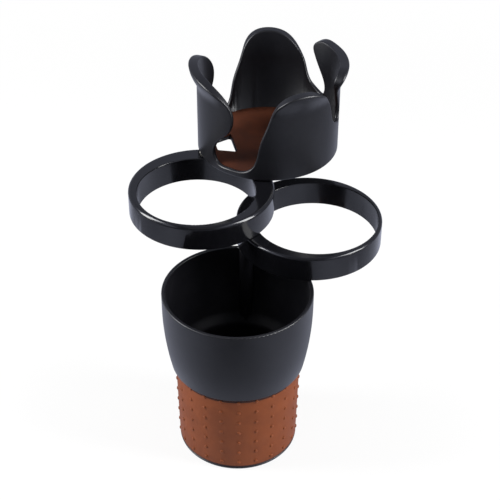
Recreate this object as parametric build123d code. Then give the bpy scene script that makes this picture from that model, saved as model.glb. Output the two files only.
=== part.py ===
from build123d import *
import os
from math import sin, cos, radians, hypot

# Car cup holder: a base cup that plugs into a console well, two eccentric rings and a petal
# holder stacked on it. Each level swings on an upright screw at its edge. Millimetres, +Z up,
# origin at the centre of the foot. The levels are drawn closed, one above the other, and then
# swung to the fanned position.

os.makedirs("parts", exist_ok=True)

# overall form
cup_radius = 44.0          # outside of the cup rim, the rings and the holder
base_height = 109.7        # foot to rim
ring_height = 15.3
layer_gap = 0.7            # free height between two levels
petal_height = 58.2        # underside of the holder to the petal tips

# hinges
boss_radius = 4.0          # every hinge boss lies flush with the outer wall
hinge_radius = cup_radius - boss_radius
column_angle = 60.0        # angle between the two hinge columns, seen from the cup axis
first_angle = 90.0         # column of the lower and the top hinge
second_angle = first_angle - column_angle
lower_swing_angle = 115.0  # fanned position of each level, from closed
upper_swing_angle = -110.0
holder_swing_angle = 104.0

# screws and washers
screw_radius = 1.5
head_radius = 2.7
head_height = 1.7
recess_width = 0.7         # cross recess in the head
recess_depth = 1.0
screw_grip = 8.0           # length held in the lower boss
pilot_relief = 1.0         # pilot hole below the screw tip
recess_margin = 1.0        # head left around the cross recess
washer_radius = 2.9
washer_thick = 0.4
head_room = 0.3            # head top below the face it sinks into
friction_radius = 3.7
running_clearance = 0.06
thread_clearance = 0.02
side_clearance = 0.25      # head and washers in their counterbore

# base cup
cup_wall = 2.3
rim_band = 9.7             # straight part of the wall below the rim
shoulder_height = 59.2     # underside of the barrel
shoulder_inset = 4.4       # shoulder inside the rim
shoulder_edge = 0.8
shelf_slope = 3.5          # height of the inner slope behind the shoulder
foot_inset = 8.0           # foot inside the rim
foot_lip = 2.3
foot_edge = 1.6
plug_growth = 1.2          # how much the plug widens from foot to shoulder
floor_thick = 2.6
floor_round = 4.0
rim_edge = 0.7
foot_recess_inset = 6.0
foot_recess_depth = 1.0
match = 0.01               # tolerance for finding an edge by its height

# grip sleeve
sleeve_thick = 1.4
sleeve_gap = 0.8           # shadow gap under the shoulder
bump_radius = 1.25
bump_crown = 0.7           # radius of the flat crown
bump_height = 0.8
bump_sides = 8
bump_columns = 22
bump_rows = 7
first_bump = 3.9           # lowest row above the sleeve's lower edge
last_bump = 2.9            # highest row below its upper edge

# rings
ring_skin = 1.8            # inner and outer skin around the hollow underside
ring_top = 2.2
lower_ring_edge = 1.6      # round of the outer top edge
upper_ring_edge = 2.2
ring_inner_edge = 0.6
rib_thick = 1.2
rib_count = 4              # ribs between and beside the bosses
rib_fan_angle = 126.0      # angle that the ribs cover
rib_drop = 1.0             # ribs stop this far above the underside
lower_thin_wall = 2.3      # ring opposite the hinges
lower_hole_offset = 4.1
upper_thin_wall = 3.0
upper_hole_offset = 5.35

# petal holder
holder_wall = 2.7
holder_floor = 2.4
holder_edge = 1.2
lip_flare = 4.8            # outside of the petal tips beyond the wall
flare_height = 16.2        # part of the petals that leans out
mouth_flare = 1.6          # same on the inside
mouth_height = 18.2
petal_edge = 1.0           # round along both edges of the petals
edge_share = 0.42          # most of the wall that one round may take
deep_floor = 4.0           # lowest point of the gaps beside the hinge petal
shallow_floor = 22.8       # lowest point of the gaps beside the petal opposite
trim = 0.5                 # wall drawn above the tips and cut off along the rim line
boss_height = 9.0
mat_thick = 1.2
mat_clearance = 0.3
overlap = 0.5              # how far the hinge boss reaches into the wall
cutout_near = 7.0          # floor cut-out, from the hinge axis
cutout_length = 11.2
cutout_inner_half = 11.0
cutout_outer_half = 6.5
cutout_round = 1.5

# heights of the levels
lower_ring_base = base_height + layer_gap
upper_ring_base = lower_ring_base + ring_height + layer_gap
holder_base = upper_ring_base + ring_height + layer_gap

belly_height = base_height - rim_band
shoulder_radius = cup_radius - shoulder_inset
foot_radius = cup_radius - foot_inset
plug_foot_radius = foot_radius - sleeve_thick
plug_top_radius = plug_foot_radius + plug_growth
lower_hole_radius = cup_radius - lower_thin_wall - lower_hole_offset
upper_hole_radius = cup_radius - upper_thin_wall - upper_hole_offset
thick_side_angle = (first_angle + second_angle) / 2


def polar(radius, angle, height=0.0):
    return Vector(radius * cos(radians(angle)), radius * sin(radians(angle)), height)


def column(angle, height=0.0):
    return polar(hinge_radius, angle, height)


def post(angle, low, high, radius):
    return Pos(*column(angle, low)) * Cylinder(
        radius, high - low, align=(Align.CENTER, Align.CENTER, Align.MIN))


def turned(*edges):
    """A solid of revolution about Z from edges drawn in radius and height."""
    return revolve(Plane.XZ * make_face(list(edges)), Axis.Z, 360)


def chain(*points):
    return [Line(a, b) for a, b in zip(points, points[1:])]


def cup_outline(inset, low):
    """Barrel line of the cup, moved in by a wall, from the straight band down to a height."""
    return TangentArc((cup_radius - inset, belly_height), (shoulder_radius - inset, low),
                      tangent=(0, -1))


def ring_edge(shape, height, radius):
    return [edge for edge in shape.edges().filter_by(GeomType.CIRCLE)
            if abs(edge.center().Z - height) < match and abs(edge.radius - radius) < match]


# base cup
def make_base_cup():
    outer = turned(
        *chain((0, base_height), (cup_radius, base_height), (cup_radius, belly_height)),
        cup_outline(0, shoulder_height),
        *chain((shoulder_radius, shoulder_height), (plug_top_radius, shoulder_height),
               (plug_foot_radius, foot_lip), (foot_radius, foot_lip), (foot_radius, 0),
               (0, 0), (0, base_height)))
    outer = fillet(ring_edge(outer, 0, foot_radius), foot_edge)
    outer = fillet(ring_edge(outer, shoulder_height, shoulder_radius), shoulder_edge)
    outer = fillet(ring_edge(outer, base_height, cup_radius), rim_edge)
    shelf_top = shoulder_height + shelf_slope
    inside = cup_radius - cup_wall
    mouth = CenterArc((inside + rim_edge, base_height - rim_edge), rim_edge, 90, 90)
    hollow = turned(
        Line((0, base_height), mouth @ 0), mouth, Line(mouth @ 1, (inside, belly_height)),
        cup_outline(cup_wall, shelf_top),
        *chain((shoulder_radius - cup_wall, shelf_top),
               (plug_top_radius - cup_wall, shoulder_height - shelf_slope),
               (plug_foot_radius - cup_wall, floor_thick), (0, floor_thick), (0, base_height)))
    hollow = fillet(ring_edge(hollow, floor_thick, plug_foot_radius - cup_wall), floor_round)
    boss = post(first_angle, shoulder_height, base_height, boss_radius) & outer
    cup = outer - hollow + boss
    pilot = post(first_angle, base_height - screw_grip - pilot_relief, base_height,
                 screw_radius + thread_clearance)
    recess = Cylinder(foot_radius - foot_recess_inset, foot_recess_depth,
                      align=(Align.CENTER, Align.CENTER, Align.MIN))
    return cup - pilot - recess


# brown sleeve with rows of bumps
def make_grip_sleeve():
    top = shoulder_height - sleeve_gap

    def surface(height):
        share = (height - foot_lip) / (shoulder_height - foot_lip)
        return plug_foot_radius + plug_growth * share

    low, high = surface(foot_lip), surface(top)
    sleeve = turned(*chain((low, foot_lip), (low + sleeve_thick, foot_lip),
                           (high + sleeve_thick, top), (high, top), (low, foot_lip)))
    lowest = foot_lip + first_bump
    pitch = (top - last_bump - lowest) / (bump_rows - 1)
    bumps = []
    for row in range(bump_rows):
        height = lowest + row * pitch
        root = surface(height) + sleeve_thick - bump_height
        for step in range(bump_columns):
            angle = 360 * step / bump_columns
            plane = Plane(origin=polar(root, angle, height),
                          x_dir=(-sin(radians(angle)), cos(radians(angle)), 0),
                          z_dir=(cos(radians(angle)), sin(radians(angle)), 0))
            base = plane * RegularPolygon(bump_radius, bump_sides)
            waist = plane.offset(bump_height) * RegularPolygon(bump_radius, bump_sides)
            crown = plane.offset(2 * bump_height) * RegularPolygon(bump_crown, bump_sides)
            bumps.append(loft([base, waist, crown], ruled=True))
    return sleeve + bumps


# rings
def make_ring(base, hole_radius, hole_offset, outer_edge, screw_angle, pilot_angle):
    """Ring with an off-centre hole, hollow underneath, with bosses and ribs on its thick side."""
    top = base + ring_height
    away = polar(-hole_offset, thick_side_angle)
    lift = (Align.CENTER, Align.CENTER, Align.MIN)
    body = Pos(0, 0, base) * Cylinder(cup_radius, ring_height, align=lift)
    body -= Pos(away.X, away.Y, base) * Cylinder(hole_radius, ring_height, align=lift)
    top_edges = body.edges().group_by(Axis.Z)[-1].sort_by(SortBy.RADIUS)
    body = fillet(top_edges[-1], outer_edge)
    body = fillet(body.edges().group_by(Axis.Z)[-1].sort_by(SortBy.RADIUS)[0], ring_inner_edge)
    hollow_height = ring_height - ring_top
    hollow = Pos(0, 0, base) * Cylinder(cup_radius - ring_skin, hollow_height, align=lift)
    hollow -= Pos(away.X, away.Y, base) * Cylinder(hole_radius + ring_skin, hollow_height,
                                                   align=lift)
    ribs = Part()
    for step in range(rib_count):
        angle = thick_side_angle + rib_fan_angle * (step / (rib_count - 1) - 0.5)
        rib = Pos(*polar(cup_radius / 2, angle, base + rib_drop)) * Rot(0, 0, angle) * Box(
            cup_radius, rib_thick, hollow_height - rib_drop, align=lift)
        ribs += rib
    hollow -= ribs
    for angle in (screw_angle, pilot_angle):
        hollow -= post(angle, base, top, boss_radius)
    body -= hollow
    seat = top - head_room - head_height - washer_thick
    body -= post(screw_angle, seat, top, washer_radius + side_clearance)
    body -= post(screw_angle, base, seat, screw_radius + running_clearance)
    body -= post(pilot_angle, top - screw_grip - pilot_relief, top,
                 screw_radius + thread_clearance)
    return body


# Rim line of the holder on one side of its hinge, as angle from the hinge and share of the
# height between the floor of the gap and the petal tips. The petals are wider at the top than
# at the waist, so the line doubles back. The hinge stands in the middle of a small petal.
deep_gap = [(0, 1.0), (15, 0.989), (30, 0.937), (42, 0.821), (47.6, 0.664), (46, 0.498),
            (32, 0.277), (27.8, 0.125), (33, 0.012), (43.5, 0.0), (54, 0.0), (61.8, 0.042),
            (70.8, 0.387), (77, 0.627), (83.1, 0.845), (92, 0.959)]
shallow_gap = [(103, 0.983), (114, 0.941), (125, 0.791), (135, 0.514), (142, 0.14),
               (150, 0.03), (157.5, 0.0), (161, 0.125), (155.5, 0.395), (146, 0.698),
               (144, 0.839), (149.5, 0.966), (162, 1.0), (180, 1.0)]


def rim_heights(outline, gap_floor):
    return [(angle, gap_floor + share * (petal_height - gap_floor)) for angle, share in outline]


def make_petal_holder():
    inner = cup_radius - holder_wall
    top = petal_height + trim
    flare_foot = petal_height - flare_height
    mouth_foot = petal_height - mouth_height
    wall = turned(
        *chain((0, 0), (cup_radius, 0), (cup_radius, flare_foot)),
        Spline((cup_radius, flare_foot), (cup_radius + lip_flare, top),
               tangents=[(0, 1), (0, 1)]),
        Line((cup_radius + lip_flare, top), (inner + mouth_flare, top)),
        TangentArc((inner, mouth_foot), (inner + mouth_flare, top), tangent=(0, 1)),
        *chain((inner, mouth_foot), (inner, holder_floor), (0, holder_floor), (0, 0)))
    wall = fillet(ring_edge(wall, 0, cup_radius), holder_edge)

    # a radial sheet through the closed rim line cuts the petals free
    half = rim_heights(deep_gap, deep_floor) + rim_heights(shallow_gap, shallow_floor)
    loop = half + [(360 - angle, height) for angle, height in half[-2:0:-1]]
    walked = [0]
    for (angle, height), (turned_to, risen_to) in zip(loop, loop[1:] + [(360, loop[0][1])]):
        along = radians(turned_to - angle) * cup_radius
        walked.append(walked[-1] + hypot(along, risen_to - height))

    def rim_line(radius):
        points = [polar(radius, first_angle + angle, height) for angle, height in loop]
        return Edge.make_spline(points, periodic=True, parameters=walked)

    sheet = Face.make_surface_from_curves(rim_line(inner / 2), rim_line(2 * cup_radius))
    for turn in (0, 90):
        across = Plane.XZ.rotated((0, 0, first_angle + turn))
        sheet = split(sheet, bisect_by=across, keep=Keep.BOTH)
    parted = split(wall, bisect_by=Shell(sheet.faces()), keep=Keep.BOTH).solids()
    holder = parted.sort_by(Axis.Z)[0]
    rim = holder.faces().filter_by(GeomType.BSPLINE)
    beside = holder.faces().filter_by(GeomType.BSPLINE, reverse=True)
    wall_edges = [edge for face in beside for edge in face.edges()]
    rim_edges = [edge for face in rim for edge in face.edges()
                 if any(edge.is_same(other) for other in wall_edges)]
    holder = holder.fillet(min(petal_edge, edge_share * holder_wall), rim_edges)

    shell = post(first_angle, 0, boss_height, boss_radius)
    holder += shell & Cylinder(inner + overlap, boss_height,
                               align=(Align.CENTER, Align.CENTER, Align.MIN))
    holder -= extrude(floor_cutout(0), holder_floor)
    seat = boss_height - head_room - head_height - washer_thick
    holder -= post(first_angle, seat, boss_height, washer_radius + side_clearance)
    holder -= post(first_angle, 0, seat, screw_radius + running_clearance)
    return Pos(0, 0, holder_base) * holder


def floor_cutout(margin):
    """Cut-out in the floor beside the hinge, wider by a margin all round."""
    outer = hinge_radius - cutout_near + margin
    inner = hinge_radius - cutout_near - cutout_length - margin
    corners = [(inner, -cutout_inner_half - margin), (outer, -cutout_outer_half - margin),
               (outer, cutout_outer_half + margin), (inner, cutout_inner_half + margin)]
    shape = make_face(Polyline(*corners, close=True))
    shape = fillet(shape.vertices(), cutout_round)
    return Rot(0, 0, first_angle) * shape


def make_holder_mat():
    base = holder_base + holder_floor
    disc = Circle(cup_radius - holder_wall - mat_clearance)
    disc -= Pos(*column(first_angle)) * Circle(boss_radius + mat_clearance)
    disc -= floor_cutout(mat_clearance)
    return Pos(0, 0, base) * extrude(disc, mat_thick)


# hinge hardware: one screw, one washer under its head and one friction washer for each hinge
def make_screw(angle, seat, grip_top):
    under_head = seat + washer_thick
    tip = grip_top - screw_grip
    screw = post(angle, under_head, under_head + head_height, head_radius)
    top = screw.edges().group_by(Axis.Z)[-1]
    screw = fillet(top, head_height / 2)
    screw += post(angle, tip, under_head, screw_radius)
    for turn in (0, 90):
        slot = Box(2 * (head_radius - recess_margin), recess_width, recess_depth,
                   align=(Align.CENTER, Align.CENTER, Align.MAX))
        screw -= Pos(*column(angle, under_head + head_height)) * Rot(0, 0, turn) * slot
    return screw


def make_washer(angle, base, thick, radius):
    return post(angle, base, base + thick, radius) - post(
        angle, base, base + thick, screw_radius + running_clearance)


def swing(angle, turn):
    """A turn about one of the closed hinge columns."""
    centre = column(angle)
    return Pos(centre.X, centre.Y, 0) * Rot(0, 0, turn) * Pos(-centre.X, -centre.Y, 0)


# each level carries the levels above it
lower_place = swing(first_angle, lower_swing_angle)
upper_place = lower_place * swing(second_angle, upper_swing_angle)
holder_place = upper_place * swing(first_angle, holder_swing_angle)

pieces = {
    "base_cup": make_base_cup(),
    "grip_sleeve": make_grip_sleeve(),
    "lower_ring": lower_place * make_ring(lower_ring_base, lower_hole_radius, lower_hole_offset,
                                          lower_ring_edge, first_angle, second_angle),
    "upper_ring": upper_place * make_ring(upper_ring_base, upper_hole_radius, upper_hole_offset,
                                          upper_ring_edge, second_angle, first_angle),
    "petal_holder": holder_place * make_petal_holder(),
    "holder_mat": holder_place * make_holder_mat(),
}

# name, column, place of the level below, gap under the upper level, face the head sinks below
hinges = [
    ("lower", first_angle, Location(), base_height, lower_ring_base + ring_height),
    ("middle", second_angle, lower_place, lower_ring_base + ring_height,
     upper_ring_base + ring_height),
    ("top", first_angle, upper_place, upper_ring_base + ring_height,
     holder_base + boss_height),
]
for name, angle, place, gap_base, face in hinges:
    seat = face - head_room - head_height - washer_thick
    pieces[name + "_hinge_screw"] = place * make_screw(angle, seat, gap_base)
    pieces[name + "_head_washer"] = place * make_washer(angle, seat, washer_thick, washer_radius)
    pieces[name + "_friction_washer"] = place * make_washer(angle, gap_base, layer_gap,
                                                            friction_radius)

for name, piece in pieces.items():
    export_step(piece, "parts/" + name + ".step")
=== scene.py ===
import math

import bmesh
import bpy
from mathutils import Matrix, Vector


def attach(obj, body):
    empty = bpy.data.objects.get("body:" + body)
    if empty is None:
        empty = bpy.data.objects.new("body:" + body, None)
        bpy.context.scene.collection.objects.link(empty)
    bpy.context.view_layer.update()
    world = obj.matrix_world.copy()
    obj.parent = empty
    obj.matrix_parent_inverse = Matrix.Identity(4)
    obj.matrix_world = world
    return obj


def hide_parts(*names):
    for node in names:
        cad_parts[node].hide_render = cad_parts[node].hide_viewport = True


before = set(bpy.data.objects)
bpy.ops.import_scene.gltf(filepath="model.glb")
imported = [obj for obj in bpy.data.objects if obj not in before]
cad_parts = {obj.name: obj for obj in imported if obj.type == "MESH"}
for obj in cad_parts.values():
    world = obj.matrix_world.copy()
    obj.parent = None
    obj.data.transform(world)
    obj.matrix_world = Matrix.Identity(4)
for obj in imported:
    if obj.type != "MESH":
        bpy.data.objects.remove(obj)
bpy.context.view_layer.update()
scene = bpy.context.scene
mm = 0.001
print("frame: " + str(len(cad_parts)) + " nodes")


# node trees, with their maths written as plain expressions
class Wire:  # one output socket
    def __init__(self, tree, socket):
        self.tree = tree
        self.socket = socket

    def maths(self, kind, *values):
        return self.tree.node("ShaderNodeMath", {"operation": kind},
                              dict(enumerate((self,) + values)))

    def __add__(self, other):
        return self.maths("ADD", other)

    def __sub__(self, other):
        return self.maths("SUBTRACT", other)

    def __rsub__(self, other):
        return self.maths("MULTIPLY_ADD", -1.0, other)

    def __mul__(self, other):
        return self.maths("MULTIPLY", other)

    def __truediv__(self, other):
        return self.maths("DIVIDE", other)

    def __rtruediv__(self, other):
        return self.maths("POWER", -1.0) * other

    __radd__ = __add__
    __rmul__ = __mul__


class Tree:  # the nodes of a material, the world or a modifier
    def __init__(self, tree):
        self.tree = tree
        tree.nodes.clear()

    def node(self, kind, settings=None, values=None, output=0):
        made = self.tree.nodes.new(kind)
        for key, value in (settings or {}).items():
            setattr(made, key, value)
        for key, value in (values or {}).items():
            for part in value if isinstance(value, list) else [value]:  # a list goes to one socket
                if isinstance(part, Wire):
                    self.tree.links.new(part.socket, made.inputs[key])
                else:
                    made.inputs[key].default_value = part
        return Wire(self, made.outputs[output]) if len(made.outputs) else None


class Paint(Tree):  # what materials and the world share
    def __init__(self, owner):
        owner.use_nodes = True
        super().__init__(owner.node_tree)

    def place(self):
        return self.node("ShaderNodeTexCoord", output="Object")

    def axes(self, where, names="XYZ"):
        return [self.node("ShaderNodeSeparateXYZ", None, {0: where}, output=name) for name in names]

    def rays(self):
        kinds = ("Is Camera Ray", "Is Glossy Ray", "Is Transmission Ray")
        return [self.node("ShaderNodeLightPath", output=kind) for kind in kinds]

    def noise(self, scale, detail, rough, distortion=0.0):
        return self.node("ShaderNodeTexNoise", None, {
            "Vector": self.place(), "Scale": scale, "Detail": detail,
            "Roughness": rough, "Distortion": distortion})

    def between(self, value, low, high, newLow=0.0, newHigh=1.0):
        return self.node("ShaderNodeMapRange", {"interpolation_type": "SMOOTHSTEP"}, {
            "Value": value, "From Min": low, "From Max": high,
            "To Min": newLow, "To Max": newHigh})

    def blendColour(self, factor, first, second):
        # Mix has sockets of one name for each kind of data, so its colours go by number
        return self.node("ShaderNodeMix", {"data_type": "RGBA"}, {
            "Factor": factor, 6: first, 7: second}, output=2)

    def bump(self, height, strength, distance):
        return self.node("ShaderNodeBump", None, {
            "Height": height, "Strength": strength, "Distance": distance})

    def surface(self, **values):
        named = {key.replace("_", " "): value for key, value in values.items()}
        self.finish(self.node("ShaderNodeBsdfPrincipled", None, named))

    def finish(self, shader):
        self.node("ShaderNodeOutputMaterial", None, {"Surface": shader})


def newPaint(name):
    material = bpy.data.materials.new(name)
    return material, Paint(material)


# finishes
noiseMiddle = 0.5

# noises are given as scale, detail, roughness and distortion, bumps as strength and distance
satinBlack = {
    "dark": (0.0032, 0.0032, 0.0046, 1), "light": (0.0055, 0.0055, 0.0072, 1), "ior": 1.47,
    "cloud": (38.0, 4.0, 0.6), "grain": (5200.0, 2.0, 0.55), "fine": (1144.0, 3.0, 0.6),
    "mottle": (0.35, 0.7), "grainInColour": 0.4,
    "roughness": 0.37, "cloudInRoughness": 0.07, "grainInRoughness": 0.06,
    "bump": (0.35, 0.03 * mm), "grainInBump": 0.7, "fineInBump": 0.3}


def makeSatinBlack(name, look):
    material, paint = newPaint(name)
    cloud = paint.noise(*look["cloud"])
    grain = paint.noise(*look["grain"])
    fine = paint.noise(*look["fine"])
    mottle = paint.between(cloud + (grain - noiseMiddle) * look["grainInColour"], *look["mottle"])
    rough = ((cloud - noiseMiddle) * look["cloudInRoughness"]
             + (grain - noiseMiddle) * look["grainInRoughness"] + look["roughness"])
    height = grain * look["grainInBump"] + fine * look["fineInBump"]
    paint.surface(Base_Color=paint.blendColour(mottle, look["dark"], look["light"]),
                  Roughness=rough, IOR=look["ior"], Normal=paint.bump(height, *look["bump"]))
    return material


glossBlack = {
    "dark": (0.0035, 0.0036, 0.0048, 1), "light": (0.0055, 0.0056, 0.007, 1), "ior": 1.49,
    "smudge": (55.0, 5.0, 0.62, 0.6), "peel": (420.0, 2.0, 0.5), "grain": (4200.0, 1.0, 0.5),
    "smudged": (0.42, 0.72), "roughness": 0.13, "smudgeInRoughness": 0.09,
    "bump": (0.25, 0.02 * mm), "grainInBump": 0.15}


def makeGlossBlack(name, look):
    material, paint = newPaint(name)
    smudge = paint.noise(*look["smudge"])
    peel = paint.noise(*look["peel"])
    grain = paint.noise(*look["grain"])
    rough = (paint.between(smudge, *look["smudged"]) * look["smudgeInRoughness"]
             + look["roughness"])
    height = peel + grain * look["grainInBump"]
    paint.surface(Base_Color=paint.blendColour(smudge, look["dark"], look["light"]),
                  Roughness=rough, IOR=look["ior"], Normal=paint.bump(height, *look["bump"]))
    return material


brownRubber = {
    "dark": (0.145, 0.0325, 0.0055, 1), "light": (0.174, 0.0405, 0.008, 1),
    # shade is the colour of the painted shade on the sleeve
    "worn": (0.25, 0.080, 0.034, 1), "shade": (0.022, 0.006, 0.004, 1), "ior": 1.38,
    "cloud": (75.0, 5.0, 0.62), "grain": (3600.0, 3.0, 0.6), "pits": (1008.0, 2.0, 0.5),
    "mottle": (0.36, 0.66), "cloudInColour": 0.8, "grainInColour": 0.2,
    "roughness": 0.7, "cloudInRoughness": 0.12, "grainInRoughness": 0.14,
    "bump": (0.5, 0.05 * mm), "grainInBump": 0.6, "pitsInBump": 0.4}
# the mat is the same brown rubber, darkened: painted shade from the petals around it
shadedRubber = dict(brownRubber, dark=(0.056, 0.013, 0.0036, 1),
                    light=(0.08, 0.019, 0.0055, 1), ior=1.36)


def markSleeve(paint, colour, grain, look, marks):
    # pales the tips of the bumps, and paints shade in a band under the cup's shoulder and in a band
    # above the foot
    x, y, z = paint.axes(paint.place())
    proud = (x * x + y * y).maths("SQRT") - z * marks["slope"] - marks["radius"]
    touched = (paint.between(proud, *marks["tips"])
               * (grain * marks["grainInTips"] + marks["evenInTips"]) * marks["tipShare"])
    colour = paint.blendColour(touched, colour, look["worn"])
    # painted shade: two dark bands, under the cup's shoulder and above the foot, kept off the bumps
    contactShade = paint.between(z, *marks["contactShade"]) + paint.between(z, *marks["footShade"])
    flat = paint.between(proud, *marks["flat"])
    return paint.blendColour(contactShade * flat * marks["contactShadeShare"], colour, look["shade"])


def makeBrownRubber(name, look, marks=None):
    material, paint = newPaint(name)
    cloud = paint.noise(*look["cloud"])
    grain = paint.noise(*look["grain"])
    pits = paint.noise(*look["pits"])
    mottle = paint.between(cloud * look["cloudInColour"] + grain * look["grainInColour"],
                           *look["mottle"])
    colour = paint.blendColour(mottle, look["dark"], look["light"])
    if marks:
        colour = markSleeve(paint, colour, grain, look, marks)
    rough = ((grain - noiseMiddle) * look["grainInRoughness"]
             + (cloud - noiseMiddle) * look["cloudInRoughness"] + look["roughness"])
    height = grain * look["grainInBump"] + pits * look["pitsInBump"]
    paint.surface(Base_Color=colour, Roughness=rough, IOR=look["ior"],
                  Normal=paint.bump(height, *look["bump"]))
    return material


plainSteel = {
    "dark": (0.33, 0.34, 0.36, 1), "light": (0.62, 0.63, 0.65, 1),
    "tarnish": (900.0, 4.0, 0.6), "scratch": (5200.0, 2.0, 0.5, 2.0), "roughness": 0.18,
    "tarnishInRoughness": 0.16, "scratchInRoughness": 0.08, "bump": (0.25, 0.01 * mm)}


def makeSteel(name, look):
    material, paint = newPaint(name)
    tarnish = paint.noise(*look["tarnish"])
    scratch = paint.noise(*look["scratch"])
    rough = (tarnish * look["tarnishInRoughness"] + scratch * look["scratchInRoughness"]
             + look["roughness"])
    paint.surface(Base_Color=paint.blendColour(tarnish, look["dark"], look["light"]),
                  Roughness=rough, Metallic=1.0, Normal=paint.bump(scratch, *look["bump"]))
    return material


nylon = {
    "dark": (0.50, 0.48, 0.43, 1), "light": (0.70, 0.68, 0.63, 1), "ior": 1.53,
    "cloud": (800.0, 3.0, 0.5), "roughness": 0.4, "cloudInRoughness": 0.2,
    "bump": (0.2, 0.02 * mm)}


def makeNylon(name, look):
    material, paint = newPaint(name)
    cloud = paint.noise(*look["cloud"])
    rough = cloud * look["cloudInRoughness"] + look["roughness"]
    paint.surface(Base_Color=paint.blendColour(cloud, look["dark"], look["light"]),
                  Roughness=rough, IOR=look["ior"], Normal=paint.bump(cloud, *look["bump"]))
    return material


finishes = {
    "satinBlack": makeSatinBlack("satinBlackPlastic", satinBlack),
    "glossBlack": makeGlossBlack("glossBlackPlastic", glossBlack),
    "mat": makeBrownRubber("brownRubberMat", shadedRubber),
    "steel": makeSteel("plainSteel", plainSteel),
    "nylon": makeNylon("naturalNylon", nylon),
}
print("finishes: " + str(len(finishes)))


# mesh helpers
smoothing = {"merge": 0.002 * mm, "sharpAngle": 32, "bandAngle": 40, "faceWeight": 100}


def addObject(name, mesh, finish):
    piece = bpy.data.objects.new(name, mesh)
    scene.collection.objects.link(piece)
    mesh.materials.clear()
    mesh.materials.append(finishes[finish])
    return piece


def smoothFaces(mesh, angle):
    mesh.shade_smooth()
    mesh.set_sharp_from_angle(angle=math.radians(angle))


def smoothCopy(node, name, finish, look):
    joined = bmesh.new()
    joined.from_mesh(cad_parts[node].data)
    bmesh.ops.remove_doubles(joined, verts=joined.verts, dist=look["merge"])
    mesh = bpy.data.meshes.new(name)
    joined.to_mesh(mesh)
    joined.free()
    smoothFaces(mesh, look["sharpAngle"])
    piece = addObject(name, mesh, finish)
    even = piece.modifiers.new("evenNormals", "WEIGHTED_NORMAL")
    even.keep_sharp = True
    even.weight = look["faceWeight"]
    even.mode = "FACE_AREA"
    return piece


def roundedLoop(corners, radius, steps):
    # rounds every corner of a closed loop of (radius, height) points
    loop = []
    count = len(corners)
    for k, corner in enumerate(corners):
        here = Vector(corner)
        back = (Vector(corners[k - 1]) - here).normalized()
        ahead = (Vector(corners[(k + 1) % count]) - here).normalized()
        reach = radius / math.tan(back.angle(ahead) / 2)
        start, end = here + back * reach, here + ahead * reach
        for step in range(steps + 1):
            t = step / steps
            loop.append(tuple(start * (1 - t) ** 2 + here * 2 * t * (1 - t) + end * t ** 2))
    return loop


def turnedMesh(name, profile, turns):
    # profile is a closed loop of (radius, height), from the inner foot outwards and up
    verts = []
    faces = []
    count = len(profile)
    for step in range(turns):
        angle = 2 * math.pi * step / turns
        verts += [(r * math.cos(angle), r * math.sin(angle), z) for r, z in profile]
        after = (step + 1) % turns
        for k in range(count):
            n = (k + 1) % count
            faces.append((step * count + k, after * count + k,
                          after * count + n, step * count + n))
    mesh = bpy.data.meshes.new(name)
    mesh.from_pydata(verts, [], faces)
    mesh.update()
    return mesh


# grip sleeve with its rows of bumps
sleeve = {
    "footHeight": 2.3 * mm, "topHeight": 58.4 * mm, "footRadius": 36.0 * mm,
    "topRadius": 37.183 * mm, "thick": 1.4 * mm, "edge": 0.35 * mm, "edgeSteps": 3, "turns": 160,
    "columns": 22, "rows": 7, "pitch": 8.217 * mm, "firstRow": 6.2 * mm,
    "bumpRadius": 1.15 * mm, "bumpHeight": 0.66 * mm, "bumpSides": 14, "bumpRings": 8}
sleeveSlope = ((sleeve["topRadius"] - sleeve["footRadius"])
               / (sleeve["topHeight"] - sleeve["footHeight"]))

sleeveMarks = {
    "slope": sleeveSlope, "radius": sleeve["footRadius"] - sleeveSlope * sleeve["footHeight"],
    "tips": (0.25 * mm, 0.8 * mm), "grainInTips": 0.5, "evenInTips": 0.55, "tipShare": 0.12,
    # bands of painted shade, under the cup's shoulder and above the foot
    "contactShade": (55.3 * mm, 55.7 * mm), "footShade": (3.5 * mm, 3.1 * mm), "flat": (0.25 * mm, 0.05 * mm),
    "contactShadeShare": 0.92}
finishes["sleeve"] = makeBrownRubber("brownRubberSleeve", brownRubber, sleeveMarks)


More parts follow.
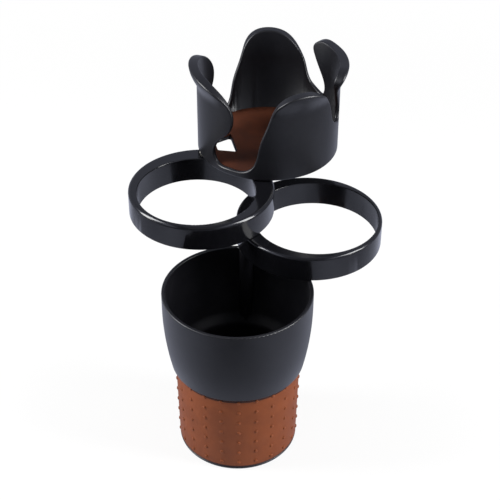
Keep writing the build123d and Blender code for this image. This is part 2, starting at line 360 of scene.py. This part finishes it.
def makeSleeve(look):
    inner = look["thick"]
    corners = [(look["footRadius"] - inner, look["footHeight"]),
               (look["footRadius"], look["footHeight"]),
               (look["topRadius"], look["topHeight"]),
               (look["topRadius"] - inner, look["topHeight"])]
    band = turnedMesh("gripSleeveBand", roundedLoop(corners, look["edge"], look["edgeSteps"]),
                      look["turns"])
    smoothFaces(band, smoothing["bandAngle"])
    piece = addObject("gripSleeve", band, "sleeve")

    rows = Tree(bpy.data.node_groups.new("bumpRows", "GeometryNodeTree"))
    sockets = rows.tree.interface
    sizes = {"Columns": ("NodeSocketInt", look["columns"]),
             "Rows": ("NodeSocketInt", look["rows"]),
             "Pitch": ("NodeSocketFloat", look["pitch"]),
             "First Row": ("NodeSocketFloat", look["firstRow"]),
             "Foot Radius": ("NodeSocketFloat", look["footRadius"]),
             "Foot Height": ("NodeSocketFloat", look["footHeight"]),
             "Slope": ("NodeSocketFloat", sleeveSlope),
             "Bump Radius": ("NodeSocketFloat", look["bumpRadius"]),
             "Bump Height": ("NodeSocketFloat", look["bumpHeight"])}
    sockets.new_socket("Geometry", in_out="INPUT", socket_type="NodeSocketGeometry")
    idents = {name: sockets.new_socket(name, in_out="INPUT", socket_type=kind).identifier
              for name, (kind, _) in sizes.items()}
    sockets.new_socket("Geometry", in_out="OUTPUT", socket_type="NodeSocketGeometry")
    given = {name: rows.node("NodeGroupInput", output=name) for name in ["Geometry", *sizes]}

    def vector(x, y, z):
        return rows.node("ShaderNodeCombineXYZ", None, {0: x, 1: y, 2: z})

    # one point for each bump, numbered round the sleeve and then up
    index = rows.node("GeometryNodeInputIndex")
    row = (index / given["Columns"]).maths("FLOOR")
    angle = index.maths("MODULO", given["Columns"]) / given["Columns"] * (2 * math.pi)
    height = row * given["Pitch"] + given["First Row"]
    radius = (height - given["Foot Height"]) * given["Slope"] + given["Foot Radius"]
    points = rows.node("GeometryNodePoints", None, {"Count": given["Columns"] * given["Rows"]})
    placed = rows.node("GeometryNodeSetPosition", None, {
        "Geometry": points,
        "Position": vector(radius * angle.maths("COSINE"), radius * angle.maths("SINE"), height)})

    # a ball pressed flat against the sleeve, half of it inside
    ball = rows.node("GeometryNodeMeshUVSphere", None, {
        "Segments": look["bumpSides"], "Rings": look["bumpRings"], "Radius": 1.0})
    pressed = rows.node("GeometryNodeTransform", None, {
        "Geometry": ball,
        "Scale": vector(given["Bump Height"], given["Bump Radius"], given["Bump Radius"])})
    smooth = rows.node("GeometryNodeSetShadeSmooth", None, {"Geometry": pressed})
    bumps = rows.node("GeometryNodeInstanceOnPoints", None, {
        "Points": placed, "Instance": smooth, "Rotation": vector(0.0, 0.0, angle)})
    joined = rows.node("GeometryNodeJoinGeometry", None, {
        "Geometry": [bumps, given["Geometry"]]})
    real = rows.node("GeometryNodeRealizeInstances", None, {"Geometry": joined})
    painted = rows.node("GeometryNodeSetMaterial", None, {
        "Geometry": real, "Material": finishes["sleeve"]})
    rows.node("NodeGroupOutput", None, {"Geometry": painted})

    maker = piece.modifiers.new("bumpRows", "NODES")
    maker.node_group = rows.tree
    for name, (_, value) in sizes.items():
        maker[idents[name]] = value
    mesh = bpy.data.meshes.new_from_object(
        piece.evaluated_get(bpy.context.evaluated_depsgraph_get()))
    piece.modifiers.remove(maker)
    piece.data = mesh
    return piece


gripSleeve = makeSleeve(sleeve)
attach(gripSleeve, "base")
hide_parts("grip_sleeve")
print("grip sleeve: " + str(len(gripSleeve.data.polygons)) + " faces")


# moulded pieces and hinge parts with smooth faces, from the solids
moulded = {  # piece: node, finish, body, slot
    "baseCup": ("base_cup", "satinBlack", "base", "body"),
    "lowerRing": ("lower_ring", "glossBlack", "lower_level", "body"),
    "upperRing": ("upper_ring", "glossBlack", "upper_level", "body"),
    "petalHolder": ("petal_holder", "satinBlack", "holder", "body"),
    "holderMat": ("holder_mat", "mat", "holder", "grip"),
}
for level, body in (("lower", "base"), ("middle", "lower_level"), ("top", "upper_level")):
    moulded[level + "HingeScrew"] = (level + "_hinge_screw", "steel", body, "steel")
    moulded[level + "HeadWasher"] = (level + "_head_washer", "steel", body, "steel")
    moulded[level + "FrictionWasher"] = (level + "_friction_washer", "nylon", body, "washer")

for name, (node, finish, body, slot) in moulded.items():
    piece = smoothCopy(node, name, finish, smoothing)
    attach(piece, body)
    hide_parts(node)
print("moulded pieces: " + str(len(moulded)))


# camera, as the photograph was taken
camera = {"place": (0.07252, -0.55135, 0.54182), "yaw": -0.1181, "down": 0.628, "roll": 0.0042,
          "lens": 87.98, "sensor": 36.0}


def makeCamera(look):
    data = bpy.data.cameras.new("photoCamera")
    data.lens = look["lens"]
    data.sensor_width = look["sensor"]
    holder = bpy.data.objects.new("photoCamera", data)
    scene.collection.objects.link(holder)
    yaw, down, roll = look["yaw"], look["down"], look["roll"]
    ahead = Vector((math.sin(yaw) * math.cos(down), math.cos(yaw) * math.cos(down),
                    -math.sin(down)))
    right = Vector((math.cos(yaw), -math.sin(yaw), 0))
    up = right.cross(ahead)
    tilted = right * math.cos(roll) + up * math.sin(roll)
    above = up * math.cos(roll) - right * math.sin(roll)
    turn = Matrix((tilted, above, -ahead)).transposed().to_4x4()
    holder.matrix_world = Matrix.Translation(look["place"]) @ turn
    scene.camera = holder


makeCamera(camera)
print("camera set")


# studio
white = (1, 1, 1, 1)
mirroredTint = (0.77, 0.81, 1.0, 1)  # what the black plastic mirrors is a little blue

# groups of four are two places and the levels there, with a smooth step between them
paleFloor = {
    "size": 12.0, "drop": 0.05 * mm, "shadowed": (0.8, 0.8, 0.8, 1),
    "mirroredNearFoot": (0.1, 0.065, 1.0, 1.8), "mirroredBeside": (0.03, 0.14, 0.44, 0.86),
    "mirroredFarBeside": (0.16, 0.26, 1.0, 0.55), "mirroredInFront": (-0.27, -0.15, 0.5, 1.0),
    "paleShare": (0.2, 0.7, 0.86, 1.0)}


def makeStage(look):
    material, paint = newPaint("paleFloor")
    seen, glossy, through = paint.rays()
    x, y = paint.axes(paint.place(), "XY")
    side = x.maths("ABSOLUTE")
    radius = (x * x + y * y).maths("SQRT")
    mirrored = (paint.between(radius, *look["mirroredNearFoot"])
                * paint.between(side, *look["mirroredBeside"])
                * paint.between(side, *look["mirroredFarBeside"])
                * paint.between(y, *look["mirroredInFront"]))
    shadowed = paint.node("ShaderNodeBsdfDiffuse", None, {"Color": look["shadowed"]})
    pale = paint.node("ShaderNodeEmission", None, {
        "Color": paint.blendColour(glossy, white, mirroredTint),
        "Strength": 1 - glossy * (1 - mirrored)})
    share = (seen + through) * paint.between(radius, *look["paleShare"]) + glossy
    paint.finish(paint.node("ShaderNodeMixShader", None, {0: share, 1: shadowed, 2: pale}))
    mesh = bpy.data.meshes.new("paleFloor")
    half = look["size"] / 2
    mesh.from_pydata([(-half, -half, 0), (half, -half, 0), (half, half, 0), (-half, half, 0)],
                     [], [(0, 1, 2, 3)])
    mesh.materials.append(material)
    floor = bpy.data.objects.new("paleFloor", mesh)
    scene.collection.objects.link(floor)
    floor.location.z = -look["drop"]


studioWorld = {
    "mirroredSky": (-0.5, 0.35, 0.12, 0.45), "fill": 0.26, "panels": 1.2,
    "panelsBeside": (0.35, 0.6), "panelsAbove": (0.1, 0.3), "panelsBefore": (0.3, 0.1)}


def makeWorld(look):
    world = bpy.data.worlds.new("studioWorld")
    scene.world = world
    paint = Paint(world)
    seen, glossy, through = paint.rays()
    x, y, z = paint.axes(paint.node("ShaderNodeTexCoord", output="Generated"))
    panels = (paint.between(x.maths("ABSOLUTE"), *look["panelsBeside"])
              * paint.between(z, *look["panelsAbove"]) * paint.between(y, *look["panelsBefore"]))
    mirrored = glossy * (paint.between(y, *look["mirroredSky"]) + panels * look["panels"])
    fill = (1 - (seen + through + glossy).maths("MINIMUM", 1.0)) * look["fill"]
    shader = paint.node("ShaderNodeBackground", None, {
        "Color": paint.blendColour(glossy, white, mirroredTint),
        "Strength": (seen + through).maths("MINIMUM", 1.0) + mirrored + fill})
    paint.node("ShaderNodeOutputWorld", None, {"Surface": shader})


softboxAim = (0, 0.06, 0.12)
softboxes = {
    "leftSoftbox": {"place": (-0.78, -0.08, 0.55), "size": (0.33, 0.8), "power": 12.5},
    "rightSoftbox": {"place": (0.78, -0.08, 0.55), "size": (0.33, 0.8), "power": 12.5},
    "frontSoftbox": {"place": (0.05, -0.66, 1.1), "size": (0.7, 0.4), "power": 0.3}}


def makeSoftbox(name, look, aim):
    data = bpy.data.lights.new(name, "AREA")
    data.shape = "RECTANGLE"
    data.size, data.size_y = look["size"]
    data.energy = look["power"]
    lamp = bpy.data.objects.new(name, data)
    lamp.location = look["place"]
    lamp.rotation_euler = (Vector(aim) - lamp.location).to_track_quat("-Z", "Y").to_euler()
    scene.collection.objects.link(lamp)


makeStage(paleFloor)
makeWorld(studioWorld)
for name, look in softboxes.items():
    makeSoftbox(name, look, softboxAim)
scene.view_settings.view_transform = "Standard"
print("studio set")
